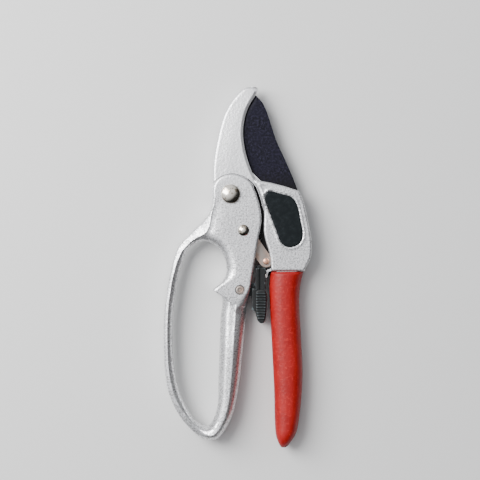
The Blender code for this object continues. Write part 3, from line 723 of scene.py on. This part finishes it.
def latch_plastic():
    """Moulded black plastic, finely textured, pale grey-green on its edges and ribs: partly rubbed
    wear, partly painted highlight.
    """
    deep, grey, rubbed = (0.003, 0.004, 0.004), (0.010, 0.011, 0.012), (0.13, 0.16, 0.17)
    look = Look("latch_plastic", (0.006, 0.007, 0.008), 0.45)
    look.hold("Specular IOR Level", 0.3)
    fine = look.noise(0.45, 3.0, 0.6)
    # Pale grey-green on edges and ribs, mottled by noise: partly rubbed wear, partly painted highlight.
    rub = look.product(look.edges(0.52, 0.58), look.remap(look.noise(1.6, 3.0), 0.35, 0.6, 0.4, 1.0))
    base = look.colors(look.remap(fine, 0.4, 0.7, 0.0, 1.0), deep, grey)
    look.vary("Base Color", look.colors(rub, base, rubbed))
    look.vary("Roughness", look.remap(fine, 0.3, 0.7, 0.36, 0.54))
    look.bump(fine, 0.02, 0.5)
    return look.material


# ---- the anvil side ----

def hook_mesh():
    """The hooked jaw: thinner to its tip, crowned, round outside and bevelled inside."""
    crown_rise, outer_round = 0.25, 1.7
    bevel_depth, bevel_width = 0.7, 1.5
    loop = dense(HOOK_INNER + HOOK_OUTER + HOOK_SEAM)
    inner, outer = open_line(HOOK_INNER), open_line(HOOK_OUTER)

    def height(p):
        thick = HOOK_Z - (HOOK_Z - HOOK_TIP_Z) * ease(p[:, 1], 15, 61)
        from_inner = distance(p, inner, closed=False)
        from_outer = distance(p, outer, closed=False)
        crown = crown_rise * ease(from_outer, 0, 9)
        bevel = bevel_depth * (1 - np.clip(from_inner / bevel_width, 0, 1))
        return thick - crown_rise + crown - rounded(from_outer, outer_round) - bevel

    rings = [0.08, 0.25, 0.5, 0.8, 1.15, 1.5, 1.6, 2.1]
    return height_solid("hook", [loop], height, mirrored(height), rings)


def housing_mesh():
    """The blade housing: round edges, a bead round the badge and a crease near its top."""
    face = HOUSING_Z - 0.35
    front_round, back_round = 1.2, 1.5
    bead_rise, crease_rise = 0.42, 0.25
    loop, badge = dense(HOUSING), dense(BADGE, 0.5)

    def front(p):
        gap = distance(p, loop)
        from_badge = distance(p, badge) * np.where(inside(p, [badge]), -1, 1)
        bead = bead_rise * swell(from_badge, 0.6, 0.38)
        crease = crease_rise * swell(gap, 1.9, 0.3)
        near_top = ease(p[:, 1], -14, -6) * ease(-p[:, 0], -21, -18)
        return face - rounded(gap, front_round) + bead + crease * near_top

    def back(p):
        return -(HOUSING_Z - rounded(distance(p, loop), back_round))

    rings = [0.04, 0.14, 0.32, 0.55, 0.85, 1.2, 1.5, 1.9, 2.3]
    return height_solid("housing", [loop], front, back, rings, spacing=0.8)


def anvil_cuts():
    """The blade's slot and groove, the bores, the badge's recess and the web's relief."""
    blade = dense(BLADE_EDGE + [(30.0, 6.0), (30.0, 40.0)], 1.0)
    groove = [(x - BLADE_CLEARANCE, y) for x, y in blade]
    return [
        prism("slot", HOUSING_SLOT, -SLOT_Z, SLOT_Z),
        prism("groove", groove, -SLOT_Z - 0.01, SLOT_Z + 0.01),
        prism("link_end", disc(PAWL, 4.4), -LINK_END_Z, LINK_END_Z),
        prism("main_bore", disc(MAIN, WEB_BORE), -CHEEK_IN, CHEEK_IN),
        prism("blade_bolt", disc(BLADE_HINGE, 2.8), -PAST_HOUSING, PAST_HOUSING),
        prism("blade_head", disc(BLADE_HINGE, BLADE_BOLT_SEAT), 3.7, PAST_HOUSING),
        prism("blade_nut", disc(BLADE_HINGE, BLADE_BOLT_SEAT), -PAST_HOUSING, -4.6),
        prism("catch", disc(CATCH, 1.1, 24), -CHEEK_IN, CHEEK_IN),
        prism("badge", dense(BADGE, 0.5), BADGE_FLOOR, PAST_HOUSING),
        prism("relief", dense(RELIEF, 1.0), 0.0, WEB_Z + 0.2),
    ]


def build_anvil_casting(paint):
    """Hooked jaw, pivot web, blade housing, handle core and catch ears, as one casting."""
    web = np.vstack([arc(MAIN, WEB_ROUND, 150, 300, 24), np.array(WEB_CORNERS)])
    parts = [
        hook_mesh(),
        prism("web", web, -WEB_Z, WEB_Z),
        prism("core", dense(CORE, 3.0), -CORE_Z, CORE_Z),
        prism("ear_front", CATCH_EAR, *EAR_FRONT),
        prism("ear_rear", CATCH_EAR, *EAR_REAR),
    ]
    body = boolean(housing_mesh(), parts, "UNION")
    mesh = boolean(body, anvil_cuts(), "DIFFERENCE")
    return piece(mesh, "anvil_casting", "anvil_side", paint, ["anvil_handle"])


def build_grip(vinyl):
    """The dipped grip: a full round section, a blunt tip and a slightly drawn-in top rim."""
    fullness, tip_length, rim_draw = 2.3, 10.0, 0.14
    loop = dense(GRIP)
    left, right = open_line(GRIP[: GRIP_TIP + 1]), open_line(GRIP[GRIP_TIP:])
    top_y, tip_y = GRIP[0][1], GRIP[GRIP_TIP][1]

    def height(p):
        from_left, from_right = distance(p, left, False), distance(p, right, False)
        across = from_left / np.maximum(from_left + from_right, 1e-6)
        arch = np.maximum(1 - np.abs(2 * across - 1) ** fullness, 0) ** (1 / fullness)
        tip = 1 - np.clip((p[:, 1] - tip_y) / tip_length, 0, 1)
        rim = 1 - rim_draw * (1 - ease(top_y - p[:, 1], 0, 1.3))
        return GRIP_Z * arch * np.sqrt(np.maximum(1 - tip**2, 0)) * rim

    rings = [0.04, 0.16, 0.36, 0.65, 1.0, 1.45, 2.0, 2.7, 3.5]
    solid = height_solid("grip", [loop], height, mirrored(height), rings, spacing=1.3)
    hollow_z = CORE_Z + CORE_CLEARANCE
    hollow = prism("hollow", grown_loop(dense(CORE, 3.0), CORE_CLEARANCE), -hollow_z, hollow_z)
    mesh = boolean(solid, [hollow], "DIFFERENCE")
    return piece(mesh, "grip_sleeve_fine", "anvil_side", vinyl, ["grip_sleeve"])


def build_badge(gloss):
    """The plain badge plate, slightly domed and round at its edge."""
    dome_rise, edge_round = 0.12, 0.55
    loop = grown_loop(dense(BADGE, 0.5), -BADGE_CLEARANCE)

    def front(p):
        gap = distance(p, loop)
        return BADGE_TOP + dome_rise * ease(gap, 0, 6) - rounded(gap, edge_round)

    def back(p):
        return np.full(len(p), BADGE_BASE)

    mesh = height_solid("badge", [loop], front, back, [0.1, 0.3, 0.55, 1.0], 1.4)
    return piece(mesh, "badge_plate_fine", "anvil_side", gloss, ["badge_plate"])


# ---- the D-handle ----

def cheek_height(p, from_outer, from_ridge, within):
    """The flat cheek: crisp at its outer edge, dished at the left, dropping round to the hole."""
    hole_top = open_line([*D_HOLE[-3:], *D_HOLE[:5]])
    from_hole = distance(p, hole_top, closed=False)
    down, dish_at = -p[:, 1], 1.5
    hole_round = 6.0 - 4.4 * ease(down, 44, 52)
    outer_round = 1.1 + 6.0 * ease(down, 52, 67)
    dish = 0.36 * ease(down, -2, 12) * (from_ridge / dish_at) * np.exp(1 - from_ridge / dish_at)
    fall = np.where(within, dish, 0.27 * from_ridge)
    return CHEEK_OUT - rounded(from_outer, outer_round) - 0.85 * rounded(from_hole, hole_round) - fall


def bar_height(p, from_outer, from_hole):
    """The round grip bar, with two soft lines down its front."""
    across = from_hole / np.maximum(from_hole + from_outer, 1e-6)
    full = 6.6 + 1.5 * ease(-p[:, 1], 64, 92)
    round_part = np.sqrt(np.maximum(1 - np.abs(2 * across - 1) ** 2.2, 0))
    right_line = 0.25 * swell(across, 0.585, 0.05)
    left_line = 0.35 * swell(across, 0.27, 0.08)
    return np.minimum(full * round_part + right_line + left_line, BAR_Z)


def guard_height(from_outer, from_hole, from_ridge, within):
    """The finger guard: two slopes that meet in a ridge, with round edges."""
    slope = np.where(within, 0.62, 0.42)
    return GUARD_Z - slope * from_ridge - rounded(from_outer, 1.2) - rounded(from_hole, 1.4)


def d_handle_mesh():
    """Cheek, bar and guard as one height field, before its slots and bores are cut."""
    outer, hole = dense(D_OUTER), dense(D_HOLE)
    cheek_end = open_line(CHEEK_END, 0.5)
    ridge = open_line(RIDGE)
    ridge_loop = np.vstack([ridge, np.array(RIDGE_ROUND)])

    def height(p):
        from_outer, from_hole = distance(p, outer), distance(p, hole)
        from_ridge = distance(p, ridge, closed=False)
        within = inside(p, [ridge_loop])
        step = distance(p, cheek_end, closed=False)
        above = p[:, 1] > np.interp(p[:, 0], cheek_end[:, 0], cheek_end[:, 1])
        cheek = cheek_height(p, from_outer, from_ridge, within) - rounded(step, 0.6)
        bar = bar_height(p, from_outer, from_hole)
        handle = np.where(above, np.maximum(cheek, bar), bar)
        guard = guard_height(from_outer, from_hole, from_ridge, within)
        guard_share = ease(-p[:, 0], 9, 21)
        return np.maximum(handle + (guard - handle) * guard_share, 0.0)

    rings = [0.03, 0.12, 0.28, 0.5, 0.8, 1.15, 1.6, 2.1, 2.7, 3.6, 4.6]
    lines = [ridge, cheek_end]
    return height_solid("d_handle", [outer, hole], height, mirrored(height), rings, 1.0, lines)


def build_d_handle(paint):
    """The left-hand casting: cheeks that clasp the web, grip bar and finger guard."""
    link_slot = np.vstack([
        arc(MAIN, WEB_ROUND + 2.2, 100, 235, 24),
        arc(LINK_HINGE, 6.8, 165, 235, 10),
        np.array([(14.5, -41.5), (30.0, -41.5), (30.0, 8.0), (14.0, 18.0)]),
    ])
    latch_slot = np.vstack([
        arc(LATCH_HINGE, 5.0, 90, 270, 24),
        np.array([(16.0, -64.0), (16.0, -46.0)]),
    ])
    cuts = [
        prism("link_slot", link_slot, -CHEEK_IN, CHEEK_IN),
        prism("latch_slot", latch_slot, -CHEEK_IN, CHEEK_IN),
        prism("bolt", disc(MAIN, 3.3), -THROUGH, THROUGH),
        prism("nut", disc(MAIN, 6.0), -THROUGH, -5.3),
        prism("rivet", disc(LINK_HINGE, LINK_BORE), -THROUGH, THROUGH),
        prism("rivet_tail", disc(LINK_HINGE, 3.2), -THROUGH, -6.3),
        prism("screw", disc(LATCH_HINGE, 1.8), -THROUGH, THROUGH),
        prism("screw_head", disc(LATCH_HINGE, LATCH_BORE), 6.0, THROUGH),
    ]
    mesh = boolean(d_handle_mesh(), cuts, "DIFFERENCE")
    return piece(mesh, "d_handle_casting", "d_side", paint, ["d_handle"])


def build_bolts(nickel, steel):
    """The main bolt and its washer, the link's rivet and the latch's dimpled screw."""
    bolt = turned("bolt", dome_profile(5.2, 9.0, 1.7) + BOLT_SIDE, MAIN, 96)
    piece(bolt, "main_bolt", "d_side", nickel, ["pivot_bolt"])
    washer = turned("washer", WASHER_PROFILE, MAIN)
    piece(washer, "main_washer", "d_side", steel, ["pivot_washer"])
    rivet = turned("rivet", dome_profile(3.15, 7.75, 1.4) + RIVET_SIDE, LINK_HINGE, 64)
    piece(rivet, "link_rivet_fine", "d_side", nickel, ["link_rivet"])
    screw = turned("screw", SCREW_PROFILE, LATCH_HINGE, 48)
    piece(screw, "latch_screw_fine", "d_side", steel, ["latch_screw"])


# ---- blade, link and latch ----

def build_blade(coating):
    """The blade, ground thin along its edge, with a bore and a toothed tail."""
    grind_depth, grind_width, edge_round = 1.1, 1.1, 0.35
    loop = dense(BLADE_EDGE + BLADE_TAIL + BLADE_SPINE, 0.6)
    edge = open_line(BLADE_EDGE, 0.6)

    def height(p):
        grind = grind_depth * (1 - ease(distance(p, edge, closed=False), 0, grind_width))
        return BLADE_Z - np.maximum(grind, rounded(distance(p, loop), edge_round))

    solid = height_solid("blade", [loop], height, mirrored(height), [0.08, 0.2, 0.36, 0.8, 1.4], 1.2)
    cuts = [
        prism("bore", disc(BLADE_HINGE, 4.1), -WEB_Z, WEB_Z),
        prism("seat", disc(PAWL, 2.5), -WEB_Z, WEB_Z),
    ]
    for place in BLADE_NOTCHES:
        cuts.append(prism("notch", disc(place, 1.7, 24), -WEB_Z, WEB_Z))
    mesh = boolean(solid, cuts, "DIFFERENCE")
    return piece(mesh, "blade_fine", "blade", coating, ["blade"])


def link_loop():
    """A round-ended strip from the link's hinge to the pawl pin."""
    turn = math.degrees(math.atan2(PAWL[1] - LINK_HINGE[1], PAWL[0] - LINK_HINGE[0]))
    return np.vstack([
        arc(LINK_HINGE, 4.4, turn + 90, turn + 270, 22),
        arc(PAWL, 3.6, turn - 90, turn + 90, 22),
    ])


def link_plate_mesh(low, high):
    """One of the link's two side plates, its edges lightly rounded, with its three bores."""
    loop = link_loop()

    def front(p):
        return high - rounded(distance(p, loop), 0.3)

    def back(p):
        return low + rounded(distance(p, loop), 0.3)

    solid = height_solid("link_plate", [loop], front, back, [0.08, 0.2, 0.32, 0.9], 1.4)
    cuts = [
        prism("hinge", disc(LINK_HINGE, LINK_BORE), -5, 5),
        prism("pawl", disc(PAWL, 1.7), -5, 5),
        prism("spacer", disc(SPACER, 1.2, 24), -5, 5),
    ]
    return boolean(solid, cuts, "DIFFERENCE")


def build_link(steel, copper):
    """The link's two plates, either side of the blade's tail, and the pawl pin."""
    for side, low, high in (("front", SLOT_Z, WEB_Z), ("rear", -WEB_Z, -SLOT_Z)):
        plate = link_plate_mesh(low, high)
        piece(plate, f"link_side_{side}", "link", steel, [f"link_plate_{side}"])
    pin = turned("pin", dome_profile(1.65, 3.75, 0.25, 4) + PIN_SIDE, PAWL, 48)
    piece(pin, "pawl_pin_fine", "link", copper, ["pawl_pin"])


def pad_mesh():
    """The thumb pad, with rounded ribs across its front."""
    rib_pitch, rib_rise = 1.56, 0.45
    loop = dense(PAD, 0.35)

    def front(p):
        down = -p[:, 1]
        on = ease(down, 55.0, 56.0) * (1 - ease(down, 71.0, 71.8))
        from_first = np.clip(down - 55.6, 0, 10 * rib_pitch)
        wave = 0.5 - 0.5 * np.cos(2 * math.pi * from_first / rib_pitch)
        gap = distance(p, loop)
        return PAD_FRONT + rib_rise * on * wave * ease(gap, 0.15, 0.9) - rounded(gap, 0.8) * 0.9

    def back(p):
        return -(PAD_BACK - rounded(distance(p, loop), 0.9))

    return height_solid("pad", [loop], front, back, [0.08, 0.25, 0.5, 0.8], 0.36)


def block_mesh():
    """The block that joins the pad to the arm."""
    loop = dense(LATCH_BLOCK, 1.0)

    def height(p):
        return 4.8 - rounded(distance(p, loop), 0.5)

    return height_solid("block", [loop], height, mirrored(height), [0.1, 0.3, 0.5], 1.0)


def upright_mesh():
    """The hooked upright that catches the pin."""
    loop = dense(LATCH_UPRIGHT, 0.4)

    def height(p):
        return 1.5 - rounded(distance(p, loop), 0.35)

    return height_solid("upright", [loop], height, mirrored(height), [0.1, 0.35], 0.9)


def cover_mesh():
    """The thin front cover over the catch, with a raised bar down its left side."""
    loop = dense(LATCH_COVER, 0.35)

    def front(p):
        bar = 0.35 * (1 - ease(p[:, 0], 16.0, 16.5))
        return COVER_FRONT + bar - rounded(distance(p, loop), 0.4)

    def back(p):
        return np.full(len(p), COVER_BACK)

    return height_solid("cover", [loop], front, back, [0.06, 0.2, 0.4], 0.45)


def build_latch(plastic):
    """The safety latch: pad, block, arm, upright, cover and hub, with a bore for its screw."""
    parts = [
        block_mesh(),
        prism("arm", LATCH_ARM, -2.9, 2.9),
        upright_mesh(),
        cover_mesh(),
        prism("hub", disc(LATCH_HINGE, 4.3), -3.7, 3.7),
    ]
    mesh = boolean(pad_mesh(), parts, "UNION")
    mesh = boolean(mesh, [prism("bore", disc(LATCH_HINGE, LATCH_BORE), -5, 5)], "DIFFERENCE")
    return piece(mesh, "latch_lever_fine", "latch", plastic, ["latch_lever"])


def dress_cad_nodes(looks):
    """Gives the CAD pieces that stay as they are their own finishes."""
    for node, look in looks.items():
        obj = frame["nodes"][node]
        obj.data.materials.clear()
        obj.data.materials.append(look)


# ---- studio ----

def add_area(name, place, size, power):
    """A rectangular light that points at the tool."""
    light = bpy.data.lights.new(name, "AREA")
    light.shape = "RECTANGLE"
    light.size, light.size_y = size
    light.energy = power
    obj = bpy.data.objects.new(name, light)
    obj.location = place
    aim = Vector((0, -0.02, 0)) - Vector(place)
    obj.rotation_euler = aim.to_track_quat("-Z", "Y").to_euler()
    bpy.context.scene.collection.objects.link(obj)


def build_floor():
    """A plain pale floor, just below the tool."""
    reach, drop = 3.0, -0.0004
    corners = [(-reach, -reach), (reach, -reach), (reach, reach), (-reach, reach)]
    mesh = bpy.data.meshes.new("floor")
    mesh.from_pydata([(x, y, drop) for x, y in corners], [], [(0, 1, 2, 3)])
    floor = bpy.data.objects.new("floor", mesh)
    bpy.context.scene.collection.objects.link(floor)
    mesh.materials.append(Look("pale_floor", (0.72, 0.72, 0.71), 0.6).material)


def build_world():
    """A soft studio, bright above and to the upper left, and dim to the lower right."""
    world = bpy.data.worlds.new("studio")
    world.use_nodes = True
    nodes, links = world.node_tree.nodes, world.node_tree.links
    background = nodes["Background"]
    background.inputs["Color"].default_value = (0.95, 0.96, 1.0, 1)
    toward = nodes.new("ShaderNodeVectorMath")
    toward.operation = "DOT_PRODUCT"
    toward.inputs[1].default_value = (-0.5, 0.45, 0.74)
    links.new(nodes.new("ShaderNodeTexCoord").outputs["Generated"], toward.inputs[0])
    ramp = nodes.new("ShaderNodeMapRange")
    ramp.interpolation_type = "SMOOTHSTEP"
    for socket, value in (("From Min", 0.1), ("From Max", 0.78), ("To Min", 0.02), ("To Max", 1.10)):
        ramp.inputs[socket].default_value = value
    links.new(toward.outputs["Value"], ramp.inputs["Value"])
    links.new(ramp.outputs["Result"], background.inputs["Strength"])
    bpy.context.scene.world = world


def build_camera():
    """Straight down on the lying pruner, framing as much round it as the closed tool needs."""
    lens, sensor = 100.0, 36.0
    view_width, aim = 271.2 * MM, (5.25 * MM, -26.0 * MM)
    camera = bpy.data.cameras.new("camera")
    camera.lens = lens
    camera.sensor_width = sensor
    camera.clip_end = 20
    obj = bpy.data.objects.new("camera", camera)
    away = 6 * MM + view_width * lens / sensor
    obj.location = (PIVOT.x + aim[0], PIVOT.y + aim[1], PIVOT.z + away)
    bpy.context.scene.collection.objects.link(obj)
    bpy.context.scene.camera = obj


def build_pruner():
    """Every fine piece, and finishes for the CAD pieces that stay."""
    nickel = plated("nickel_plate", (0.88, 0.83, 0.73), 0.13)
    copper = plated("copper_plate", (0.74, 0.40, 0.27), 0.25)
    steel = plain_steel("link_steel", (0.30, 0.265, 0.24), 0.42)
    bronze = plain_steel("sintered_bronze", (0.42, 0.27, 0.13), 0.45)
    paint = hammered_paint()
    build_anvil_casting(paint)
    build_grip(red_vinyl())
    build_badge(black_gloss())
    build_d_handle(paint)
    build_bolts(nickel, steel)
    build_blade(coated_blade())
    build_link(steel, copper)
    build_latch(latch_plastic())
    dress_cad_nodes({
        "pivot_bush": bronze, "thrust_washer_front": bronze, "thrust_washer_rear": bronze,
        "blade_bush": bronze, "latch_bush": bronze, "blade_bolt": steel, "blade_nut": nickel,
        "catch_pin": nickel, "pivot_nut": nickel, "link_spacer": steel, "link_spring": steel,
    })


build_pruner()
build_floor()
build_world()
add_area("key", (-0.60, 0.36, 0.72), (0.6, 0.8), 21.0)
build_camera()
